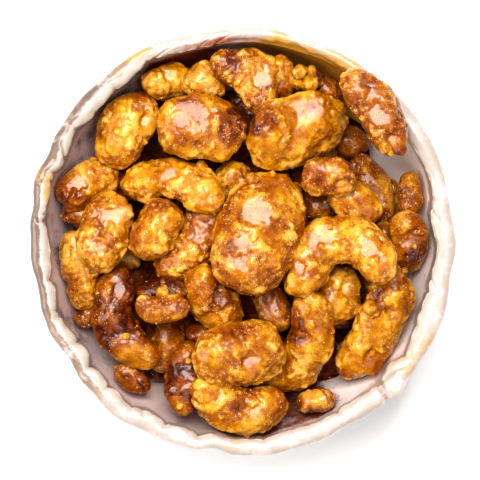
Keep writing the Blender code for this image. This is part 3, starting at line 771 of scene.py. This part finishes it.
def caramel(look, name="boiled_sugar_coat"):
    """Boiled sugar over a roasted cashew: a clear amber glass that browned in patches and crystallised into
    pale, marbled sugar on its lumps. Its colour also holds painted highlights, bright crystals that are also
    painted glints, and a painted reflection along the steep sides. It gives the eye broad glints over a deep
    warm colour."""
    material, tree, surface = new_material(name)
    where = add(tree, "TexCoord", output="Object")
    burn, crest, frost, crusty, skirt = (
        add(tree, "Attribute", output="Fac", attribute_name=layer)
        for layer in ("burn", "crest", "frost", "crusty", "skirt")
    )
    blotch, marble, fleck, fine, coarse, crystal_glint = (
        add(tree, "TexNoise", {"Vector": where, "Scale": 1 / (size * MM), "Detail": depth, "Roughness": 0.6})
        for size, depth in ((BLOTCH, 3), (MARBLE, 5), (FLECK, 3), (FINE, 2), (COARSE, 3), (CRYSTAL_GLINT, 1))
    )
    # the steep sides are made paler here, as a painted reflection
    tone = sums(
        tree, (burn, 1.0), (blotch, 0.75), (fleck, 0.65), (fine, 0.3), (crest, -0.62), (skirt, -0.10), -0.40
    )
    stops = (
        (0.00, look.pale),
        (1.00, look.darkest),
        (0.16, look.gold),
        (0.36, look.amber),
        (0.58, look.brown),
        (0.80, look.dark),
    )
    # white veins and flecks on what stands out, fewer where the sugar browned, and bright single crystals,
    # which are also painted glints
    veins, flecks, browned, crystal_glints = (
        add(tree, "MapRange", {"Value": value, 1: low, 2: high, 4: top}, interpolation_type="SMOOTHSTEP")
        for value, low, high, top in (
            (sums(tree, (marble, 1.0), (crest, 0.30), (burn, -0.22), -0.14), 0.53, 0.67, 0.60),
            (sums(tree, (fleck, -1.0), (crest, 0.35), 0.85), 0.62, 0.72, 0.60),
            (burn, 0.30, 0.75, 1.00),
            (sums(tree, (crystal_glint, 1.0), (crusty, 0.09), (crest, 0.10), -0.09), 0.66, 0.72, 0.60),
        )
    )
    dust = add(tree, "Math", {0: veins, 1: flecks}, operation="MAXIMUM")
    # white sugar, including the frost patches that are painted highlights
    white = sums(tree, (dust, sums(tree, (browned, -0.85), 1.0)), (sums(tree, (frost, marble)), 1.2))
    colour = add(tree, "ValToRGB", {"Fac": tone}, stops=stops)
    for share, tint in ((white, look.sugar), (crystal_glints, look.crystal_glint)):
        colour = add(tree, "Mix", {0: share, 6: colour, 7: (*tint, 1)}, output=2, data_type="RGBA")
    height = sums(tree, (sums(tree, (fine, 0.35), (coarse, 1.0)), sums(tree, (crusty, 0.85), 0.15)))
    gloss = sums(tree, (coarse, 1.0), (fine, 0.7))
    inputs = {
        "Base Color": colour,
        "Roughness": sums(tree, (crusty, 0.10), (marble, 0.10), 0.15),
        "IOR": 1.53,
        "Subsurface Weight": 0.2,
        "Subsurface Radius": (1.0, 0.42, 0.12),
        "Subsurface Scale": 1.2 * MM,
        "Specular IOR Level": 0.20,
        "Specular Tint": (*look.glint, 1),
        "Normal": add(tree, "Bump", {"Height": height, "Distance": 0.5 * MM}),
        "Coat Weight": 0.85,
        "Coat IOR": 1.49,
        "Coat Roughness": 0.04,
        "Coat Normal": add(tree, "Bump", {"Height": gloss, "Distance": 0.12 * MM, "Strength": 0.5}),
    }
    tree.links.new(add(tree, "BsdfPrincipled", inputs), surface)
    return material


def underneath(look):
    """Painted shade in the gaps: the core and buried nuts are coloured near black because little light gets
    in there. It gives the eye nearly black, dull hollows.
    """
    material, tree, surface = new_material("painted_shade_underneath")
    where = add(tree, "TexCoord", output="Object")
    cloud = add(tree, "TexNoise", {"Vector": where, "Scale": 1 / (3.0 * MM), "Detail": 3, "Roughness": 0.6})
    share = add(tree, "MapRange", {"Value": cloud, 1: 0.35, 2: 0.65}, interpolation_type="SMOOTHSTEP")
    colours = {0: share, 6: (*look.darkest, 1), 7: (*look.dark, 1)}
    inputs = {
        "Base Color": add(tree, "Mix", colours, output=2, data_type="RGBA"),
        "Roughness": 0.6,
        "Specular IOR Level": 0.2,
        "Normal": add(tree, "Bump", {"Height": cloud, "Distance": 0.5 * MM, "Strength": 0.8}),
    }
    tree.links.new(add(tree, "BsdfPrincipled", inputs), surface)
    return material


def stoneware(look):
    """Glazed stoneware, pinched by hand: a cream slip over the rolled rim, a mauve wall, glazes that pooled
    in clouds, and iron specks; the plum, lilac and ash glazes also carry painted shade and light. It gives
    the eye a hard, wet shine over soft cloudy colours."""
    material, tree, surface = new_material("slip_glazed_stoneware")
    where = add(tree, "TexCoord", output="Object")
    cloud, grit = (
        add(tree, "TexNoise", {"Vector": where, "Scale": 1 / (size * MM), "Detail": depth, "Roughness": 0.6})
        for size, depth in ((GLAZE_CLOUD, 6), (GLAZE_GRIT, 4))
    )
    drift = sums(tree, (cloud, 1.5), (grit, 0.5), -1.0)
    layers = {
        name: add(tree, "Attribute", output="Fac", attribute_name=name)
        for name in (*GLAZES, "iron", "seam")
    }
    washes = [(sums(tree, (layers[glaze], 1.0), (drift, 1.0)), 0.25, 0.75, 1.0) for glaze in GLAZES]
    washes.append((sums(tree, (grit, 1.0), (layers["iron"], 0.22)), 0.78, 0.90, 0.7))
    shares = [
        add(tree, "MapRange", {"Value": value, 1: low, 2: high, 4: top}, interpolation_type="SMOOTHSTEP")
        for value, low, high, top in washes
    ]
    colour = (*look.mauve, 1)
    for share, tint in zip((*shares, layers["seam"]), (*GLAZES, "plum_and_shade", "umber")):
        mixed = {0: share, 6: colour, 7: (*getattr(look, tint), 1)}
        colour = add(tree, "Mix", mixed, output=2, data_type="RGBA")
    inputs = {
        "Base Color": colour,
        "Roughness": 0.34,
        "IOR": 1.5,
        "Coat Weight": 0.5,
        "Coat Roughness": 0.12,
        "Normal": add(tree, "Bump", {"Height": grit, "Distance": 0.2 * MM, "Strength": 0.3}),
    }
    tree.links.new(add(tree, "BsdfPrincipled", inputs), surface)
    return material


# ---- Settings


def swatch(name, description, colour):
    """A colour that the user can change, from its sRGB hex value."""
    return FloatVectorProperty(name=name, description=description, subtype="COLOR", default=linear(colour))


def span(name, description, size):
    """A length that the user can change, from its millimetres."""
    return FloatProperty(
        name=name, description=description, subtype="DISTANCE", unit="LENGTH", default=size * MM
    )


class BowlLook(bpy.types.PropertyGroup):
    """The bowl's glazes and relief."""

    slip: swatch("Slip", "Cream slip on the rim", "#b5a89c")
    mauve: swatch("Mauve", "Thin glaze on the wall", "#e3cac5")
    # lilac also paints light: the right of the wall is lighter, as if lit
    lilac_and_light: swatch("Lilac", "Light grey glaze", "#f8ece5")
    # ash also paints shade where the rim's outer side turns away from the light
    ash_and_shade: swatch("Ash", "Grey, thin slip on the outer side", "#7a6557")
    # plum also paints shade on the wall, most at the back left
    plum_and_shade: swatch("Plum", "The mauve glaze where it ran dark", "#7c5a58")
    umber: swatch("Umber", "Brown glaze in the folds", "#8f6f58")
    rust: swatch("Rust", "Red-brown glaze", "#95502f")
    ochre: swatch("Ochre", "Iron-stained glaze", "#cc9f60")
    honey: swatch("Honey", "Thick, golden glaze", "#c8963c")
    pucker: span("Pucker", "How deep the notches between the rim's lobes are", 0.5)
    ragged: span("Ragged edge", "How far the rim's inner edge wanders", 0.5)


class NutLook(bpy.types.PropertyGroup):
    """The sugar's colours."""

    pale: swatch("Pale", "Palest sugar", "#d69e24")
    gold: swatch("Gold", "Golden sugar", "#c68c00")
    amber: swatch("Amber", "Sugar that began to brown", "#b07200")
    brown: swatch("Brown", "Browned sugar", "#985600")
    dark: swatch("Dark", "Red-brown, glassy sugar", "#7e3e04")
    darkest: swatch("Darkest", "Almost burnt sugar", "#4a1a0a")
    sugar: swatch("Sugar", "Sugar that set white", "#eab050")
    # sugar crystals, also the colour of the painted glints
    crystal_glint: swatch("Crystal", "Single crystals of sugar", "#ffdaa6")
    glint: swatch("Glint", "Tint of the shine on the sugar", "#ffd8cc")


class StageLook(bpy.types.PropertyGroup):
    """The floor and the camera."""

    floor: swatch("Floor", "The paper under the bowl", "#f7f7f7")
    lens: FloatProperty(
        name="Lens", description="The camera's focal length", subtype="DISTANCE_CAMERA", default=200.0
    )
    view: span("View", "What the picture spans at the rim", 145.45)


# ---- Operators


class CASHEW_OT_bowl(bpy.types.Operator):
    """Model the pinched stoneware bowl"""

    bl_idname = "cashew.bowl"
    bl_label = "Pinched bowl"

    def execute(self, context):
        look = context.scene.bowl_look
        around = [math.tau * step / BOWL_STEPS for step in range(BOWL_STEPS)]
        mesh = modelled(turned([bowl_section(angle) for angle in around]), "stoneware_bowl")
        spots, normals = places_of(mesh), normals_of(mesh)
        radius = np.hypot(spots[:, 0], spots[:, 1])
        degrees = np.degrees(np.arctan2(spots[:, 1], spots[:, 0])) % 360
        steps = np.round(degrees / 360 * BOWL_STEPS).astype(int) % BOWL_STEPS
        lobes, rim, wide = (
            np.array([measure(angle) for angle in around])[steps]
            for measure in (lobe, rim_radius, lip_width)
        )
        inward = np.clip((rim - radius) / wide, 0, 1.5)  # 0 at the outer edge and 1 at the lip's inner edge
        edge = RIM_HEIGHT - LIP_THICKNESS
        on_lip = smooth(spots[:, 2], edge - 1, edge + 1)
        dip = look.pucker / MM * (1 - lobes) * smooth(inward, 0.15, 0.8) * on_lip
        seam = np.zeros(len(spots))
        for crease in CREASES:
            away = wrapped(degrees - crease.side - crease.lean * (inward - 0.5))
            cut = np.exp(-((np.radians(away) * radius / crease.width) ** 2)) * on_lip
            cut *= smooth(inward, crease.start, crease.start + 0.3)
            dip += crease.depth * cut
            seam = np.maximum(seam, 0.6 * min(crease.depth, 1) * cut**2)
        relief = waves(spots, BOWL_DENTS) * smooth(spots[:, 2], 3, 8) - dip
        outward = spots / np.maximum(radius, 1)[:, None] * (1, 1, 0)
        ragged = look.ragged / MM * waves(spots, EDGE_WAVES) * smooth(inward, 0.5, 1) * on_lip
        spots = spots + normals * relief[:, None] + outward * ragged[:, None]
        move_to(mesh, spots)
        facing = (normals * outward).sum(axis=1)
        below = smooth(spots[:, 2], RIM_HEIGHT - LIP_THICKNESS / 2, RIM_HEIGHT - LIP_THICKNESS / 2 - 1)
        outer = np.maximum(smooth(facing, 0.0, 0.3) * below, smooth(normals[:, 2], -0.2, -0.5))
        sunk = smooth(spots[:, 2], RIM_HEIGHT, RIM_HEIGHT - 2.2)
        zones = {
            "wall": smooth(inward, 0.86, 1.06) * sunk * (1 - outer),
            "side": np.maximum(smooth(inward, 0.68, 0.38), outer),
        }
        zones["lip"] = 1 - np.maximum(zones["wall"], zones["side"])
        high = 1 - outer * smooth(spots[:, 2], RIM_HEIGHT - 6, RIM_HEIGHT - 20)
        layers = {glaze: np.zeros(len(spots)) for glaze in GLAZES}
        for pool in POOLS:
            away = np.abs(wrapped(degrees - pool.side))
            share = pool.amount * smooth(away, pool.spread, pool.spread * 0.3) * zones[pool.zone]
            share = share if pool.glaze == "slip" else share * high
            layers[pool.glaze] = np.maximum(layers[pool.glaze], share)
        paint(mesh, **layers, seam=seam, iron=layers["ochre"] * zones["side"] + 0.4 * zones["wall"])
        finish("stoneware_bowl", mesh, stoneware(look), "bowl")
        return {"FINISHED"}


class CASHEW_OT_core(bpy.types.Operator):
    """Model what is under the nuts: a core with more nuts half sunk in it, coloured dark as painted shade"""

    bl_idname = "cashew.core"
    bl_label = "Under the nuts"

    def execute(self, context):
        material = underneath(context.scene.nut_look)
        up, across = CORE_CUTS
        sections = []
        for step in range(CORE_STEPS):
            angle = math.tau * step / CORE_STEPS
            reach = CORE_REACH + sum(hump(angle, side) for side in CORE_SIDES)
            rise = math.asin((reach + CORE_GAP - FLOOR_RADIUS) / inner_reach(angle)) / (math.pi / 2)
            wall = [inside(angle, rise * part / up) for part in range(up + 1)]
            points = [(0, FLOOR + CORE_GAP)]
            points += [(radius - CORE_GAP, height + CORE_GAP) for radius, height in wall]
            rings = [reach * ring / across for ring in range(across, 0, -1)]
            points += [(radius, dome(radius) - CORE_SINK) for radius in rings]
            sections.append(points + [(0, CORE_TOP - CORE_SINK)])
        core = modelled(turned(sections), "heap_core")
        move_to(core, kept_inside(places_of(core)))
        random = np.random.default_rng(11)
        template = ball(BURIED_CUTS)
        meshes = []
        for number in range(BURIED):
            radius = BURIED_REACH * math.sqrt((number + 0.5) / BURIED)
            angle = number * math.pi * (3 - math.sqrt(5))
            x, y = radius * math.cos(angle), radius * math.sin(angle)
            length, width, bend = random.uniform(20, 28), random.uniform(11, 14), random.uniform(10, 70)
            turn, roll = random.uniform(0, math.tau), random.uniform(-0.3, 0.3)
            nut = Nut("low", BURIED_BURN, x, y, length, width, 0, bend)
            place = Matrix.Translation((x, y, dome(radius) - thickness(nut) / 2 + 0.5))
            place = place @ (Matrix.Rotation(turn, 4, "Z") @ Matrix.Rotation(roll, 4, "X"))
            meshes.append(nut_mesh(nut, place, 100 + number, template))
        finish("heap_core", core, material)
        finish("buried_cashews", joined(meshes, "buried_cashews"), material)
        return {"FINISHED"}


class CASHEW_OT_nuts(bpy.types.Operator):
    """Model every nut of the heap, grouped by its coat"""

    bl_idname = "cashew.nuts"
    bl_label = "Sugared nuts"

    def execute(self, context):
        material = caramel(context.scene.nut_look)
        big, small, low = ball(BIG_CUTS), ball(SMALL_CUTS), ball(LOW_CUTS)
        made = {}
        for number, (nut, place) in enumerate(zip(NUTS, settled()[0])):
            template = low if nut.kind == "low" else big if nut.length > BIG else small
            made.setdefault(nut.kind, []).append(nut_mesh(nut, place, number, template))
        for kind, meshes in made.items():
            finish(f"{kind}_cashews", joined(meshes, f"{kind}_cashews"), material)
        return {"FINISHED"}


class CASHEW_OT_crumbs(bpy.types.Operator):
    """Scatter the crumbs of caramel and broken nut"""

    bl_idname = "cashew.crumbs"
    bl_label = "Crumbs"

    def execute(self, context):
        heap = settled()[1]
        meshes = []
        for number, crumb in enumerate(CRUMBS):
            mesh = blob(crumb.radius, 4)
            spots = places_of(mesh)
            rise = 0.6 * lumps(spots, 2.2, number) + 0.18 * (pebbles(spots, 0.8, number) - 0.5)
            spots = spots * (1 + rise / crumb.radius)[:, None]
            move_to(mesh, spots)
            height = rest_height(np.array([(crumb.x, crumb.y, 0, crumb.radius)]), heap)
            mesh.transform(Matrix.Translation((crumb.x, crumb.y, height)))
            burn = np.clip(crumb.burn + 0.2 * lumps(spots, 2, number), 0, 1)
            paint(mesh, burn=burn, frost=0, crest=np.clip(0.5 + rise, 0, 1), crusty=1, skirt=0)
            meshes.append(mesh)
        material = caramel(context.scene.nut_look, "broken_sugar")
        finish("caramel_crumbs", joined(meshes, "caramel_crumbs"), material)
        return {"FINISHED"}


def landed(context, x, y):
    """Where something dropped at a spot lands on the nuts, in millimetres, and the nut's normal there."""
    start = Vector((x, y, 2 * RIM_HEIGHT)) * MM
    graph = context.evaluated_depsgraph_get()
    hit, spot, normal, _, obj, _ = context.scene.ray_cast(graph, start, (0, 0, -1))
    return (spot / MM, normal) if hit and obj.name.endswith("_cashews") else None


class CASHEW_OT_grains(bpy.types.Operator):
    """Drop morsels and grains of loose sugar onto the nuts"""

    bl_idname = "cashew.grains"
    bl_label = "Grains and morsels"

    def execute(self, context):
        random = np.random.default_rng(GRAINS)
        bm = bmesh.new()
        for x, y in random.uniform(-HEAP_REACH, HEAP_REACH, (GRAINS, 2)):
            radius = random.uniform(*GRAIN_RADII)
            landing = landed(context, x, y)
            if landing:
                place = Matrix.Translation(landing[0] + landing[1] * radius * 0.4)
                bmesh.ops.create_icosphere(bm, subdivisions=1, radius=radius, matrix=place)
        grains = modelled(bm, "grains")
        paint(grains, burn=0.1, frost=0, crest=0.9, crusty=0.6, skirt=0)
        meshes = [grains]
        for number, morsel in enumerate(MORSELS):
            landing = landed(context, morsel.x, morsel.y)
            if landing:
                mesh = blob(morsel.radius, 3)
                spots = places_of(mesh)
                move_to(mesh, spots * (1 + 0.35 * lumps(spots, 1.2, number))[:, None])
                mesh.transform(Matrix.Translation(landing[0] + landing[1] * morsel.radius * 0.4))
                paint(mesh, burn=morsel.burn, frost=0, crest=0.7, crusty=0.6, skirt=0)
                meshes.append(mesh)
        material = caramel(context.scene.nut_look, "loose_sugar")
        finish("loose_sugar", joined(meshes, "loose_sugar"), material)
        return {"FINISHED"}


class CASHEW_OT_strands(bpy.types.Operator):
    """Pull strands of set syrup across the nuts"""

    bl_idname = "cashew.strands"
    bl_label = "Syrup strands"

    def execute(self, context):
        meshes = []
        for strand in STRANDS:
            landings = [landed(context, x, y) for x, y in strand]
            corners = np.array([landing[0] for landing in landings if landing])
            bm = bmesh.new()
            bmesh.ops.create_grid(bm, x_segments=STRAND_CUTS[0], y_segments=STRAND_CUTS[1], size=1)
            mesh = bpy.data.meshes.new("strand")
            bm.to_mesh(mesh)
            flat = places_of(mesh)
            steps = (flat[:, 1] + 1) / 2 * (len(corners) - 1)
            behind, middle, ahead = (
                np.column_stack([np.interp(steps + part, range(len(corners)), axis) for axis in corners.T])
                for part in (-0.05, 0, 0.05)
            )
            heading = (ahead - behind) / np.linalg.norm(ahead - behind, axis=1)[:, None]
            side = np.cross(heading, (0, 0, 1))
            side /= np.linalg.norm(side, axis=1)[:, None]
            around = math.pi * flat[:, 0:1]
            radial = np.cos(around) * side + np.sin(around) * np.cross(side, heading)
            move_to(mesh, middle + STRAND_RADIUS * radial + (0, 0, STRAND_RADIUS / 2))
            bm.clear()
            bm.from_mesh(mesh)
            bmesh.ops.remove_doubles(bm, verts=bm.verts, dist=0.001)
            bmesh.ops.holes_fill(bm, edges=bm.edges)
            bmesh.ops.recalc_face_normals(bm, faces=bm.faces)
            bm.to_mesh(mesh)
            bm.free()
            paint(mesh, burn=0.6, frost=0, crest=0.5, crusty=0.6, skirt=0)
            meshes.append(mesh)
        material = caramel(context.scene.nut_look, "pulled_syrup")
        finish("syrup_strands", joined(meshes, "syrup_strands"), material)
        return {"FINISHED"}


class CASHEW_OT_stage(bpy.types.Operator):
    """Lay the floor and set up the lights and the camera"""

    bl_idname = "cashew.stage"
    bl_label = "Floor, lights and camera"

    def execute(self, context):
        scene = context.scene
        look = scene.stage_look
        bm = bmesh.new()
        bmesh.ops.create_grid(bm, x_segments=2, y_segments=2, size=FLOOR_REACH)
        mesh = modelled(bm, "floor")
        material, tree, surface = new_material("matt_paper")
        paper = {"Base Color": (*look.floor, 1), "Roughness": 0.9}
        tree.links.new(add(tree, "BsdfPrincipled", paper), surface)
        mesh.materials.append(material)
        floor = bpy.data.objects.new("floor", mesh)
        scene.collection.objects.link(floor)

        for lamp in LAMPS:
            light = bpy.data.lights.new(lamp.name, "AREA")
            light.shape = "DISK"
            light.size = lamp.size
            light.energy = lamp.power
            stand = bpy.data.objects.new(lamp.name, light)
            stand.location = lamp.spot
            stand.rotation_euler = (-Vector(lamp.spot)).to_track_quat("-Z", "Y").to_euler()
            stand.visible_camera = False
            scene.collection.objects.link(stand)

        world = bpy.data.worlds.new("studio")
        world.use_nodes = True
        background = world.node_tree.nodes["Background"]
        background.inputs["Color"].default_value = (1, 1, 1, 1)
        background.inputs["Strength"].default_value = STUDIO
        scene.world = world

        camera = bpy.data.objects.new("camera", bpy.data.cameras.new("camera"))
        camera.data.lens = look.lens
        camera.data.sensor_width = SENSOR
        reach = look.lens * look.view / SENSOR
        height = (RIM_HEIGHT - LIP_THICKNESS / 2) * MM + reach
        camera.location = (CENTRE[0] * MM, CENTRE[1] * MM, height)
        camera.data.clip_end = 10
        scene.collection.objects.link(camera)
        scene.camera = camera
        scene.view_settings.view_transform = "Standard"
        scene.view_settings.look = "High Contrast"
        return {"FINISHED"}


class CASHEW_PT_panel(bpy.types.Panel):
    """Lists the pieces of the bowl of cashews"""

    bl_idname = "CASHEW_PT_panel"
    bl_label = "Bowl of cashews"
    bl_space_type = "VIEW_3D"
    bl_region_type = "UI"
    bl_category = "Cashews"

    def draw(self, context):
        for operator in OPERATORS:
            self.layout.operator(operator.bl_idname)


GROUPS = {"bowl_look": BowlLook, "nut_look": NutLook, "stage_look": StageLook}
OPERATORS = (
    CASHEW_OT_bowl,
    CASHEW_OT_core,
    CASHEW_OT_nuts,
    CASHEW_OT_crumbs,
    CASHEW_OT_grains,
    CASHEW_OT_strands,
    CASHEW_OT_stage,
)


def register():
    for name, group in GROUPS.items():
        bpy.utils.register_class(group)
        setattr(bpy.types.Scene, name, PointerProperty(type=group))
    for made in (*OPERATORS, CASHEW_PT_panel):
        bpy.utils.register_class(made)


def unregister():
    for made in (*OPERATORS, CASHEW_PT_panel):
        bpy.utils.unregister_class(made)
    for name, group in GROUPS.items():
        delattr(bpy.types.Scene, name)
        bpy.utils.unregister_class(group)


def main():
    register()
    bpy.ops.cashew.bowl()
    bpy.ops.cashew.core()
    bpy.ops.cashew.nuts()
    bpy.ops.cashew.crumbs()
    bpy.ops.cashew.grains()
    bpy.ops.cashew.strands()
    bpy.ops.cashew.stage()


if __name__ == "__main__":
    main()
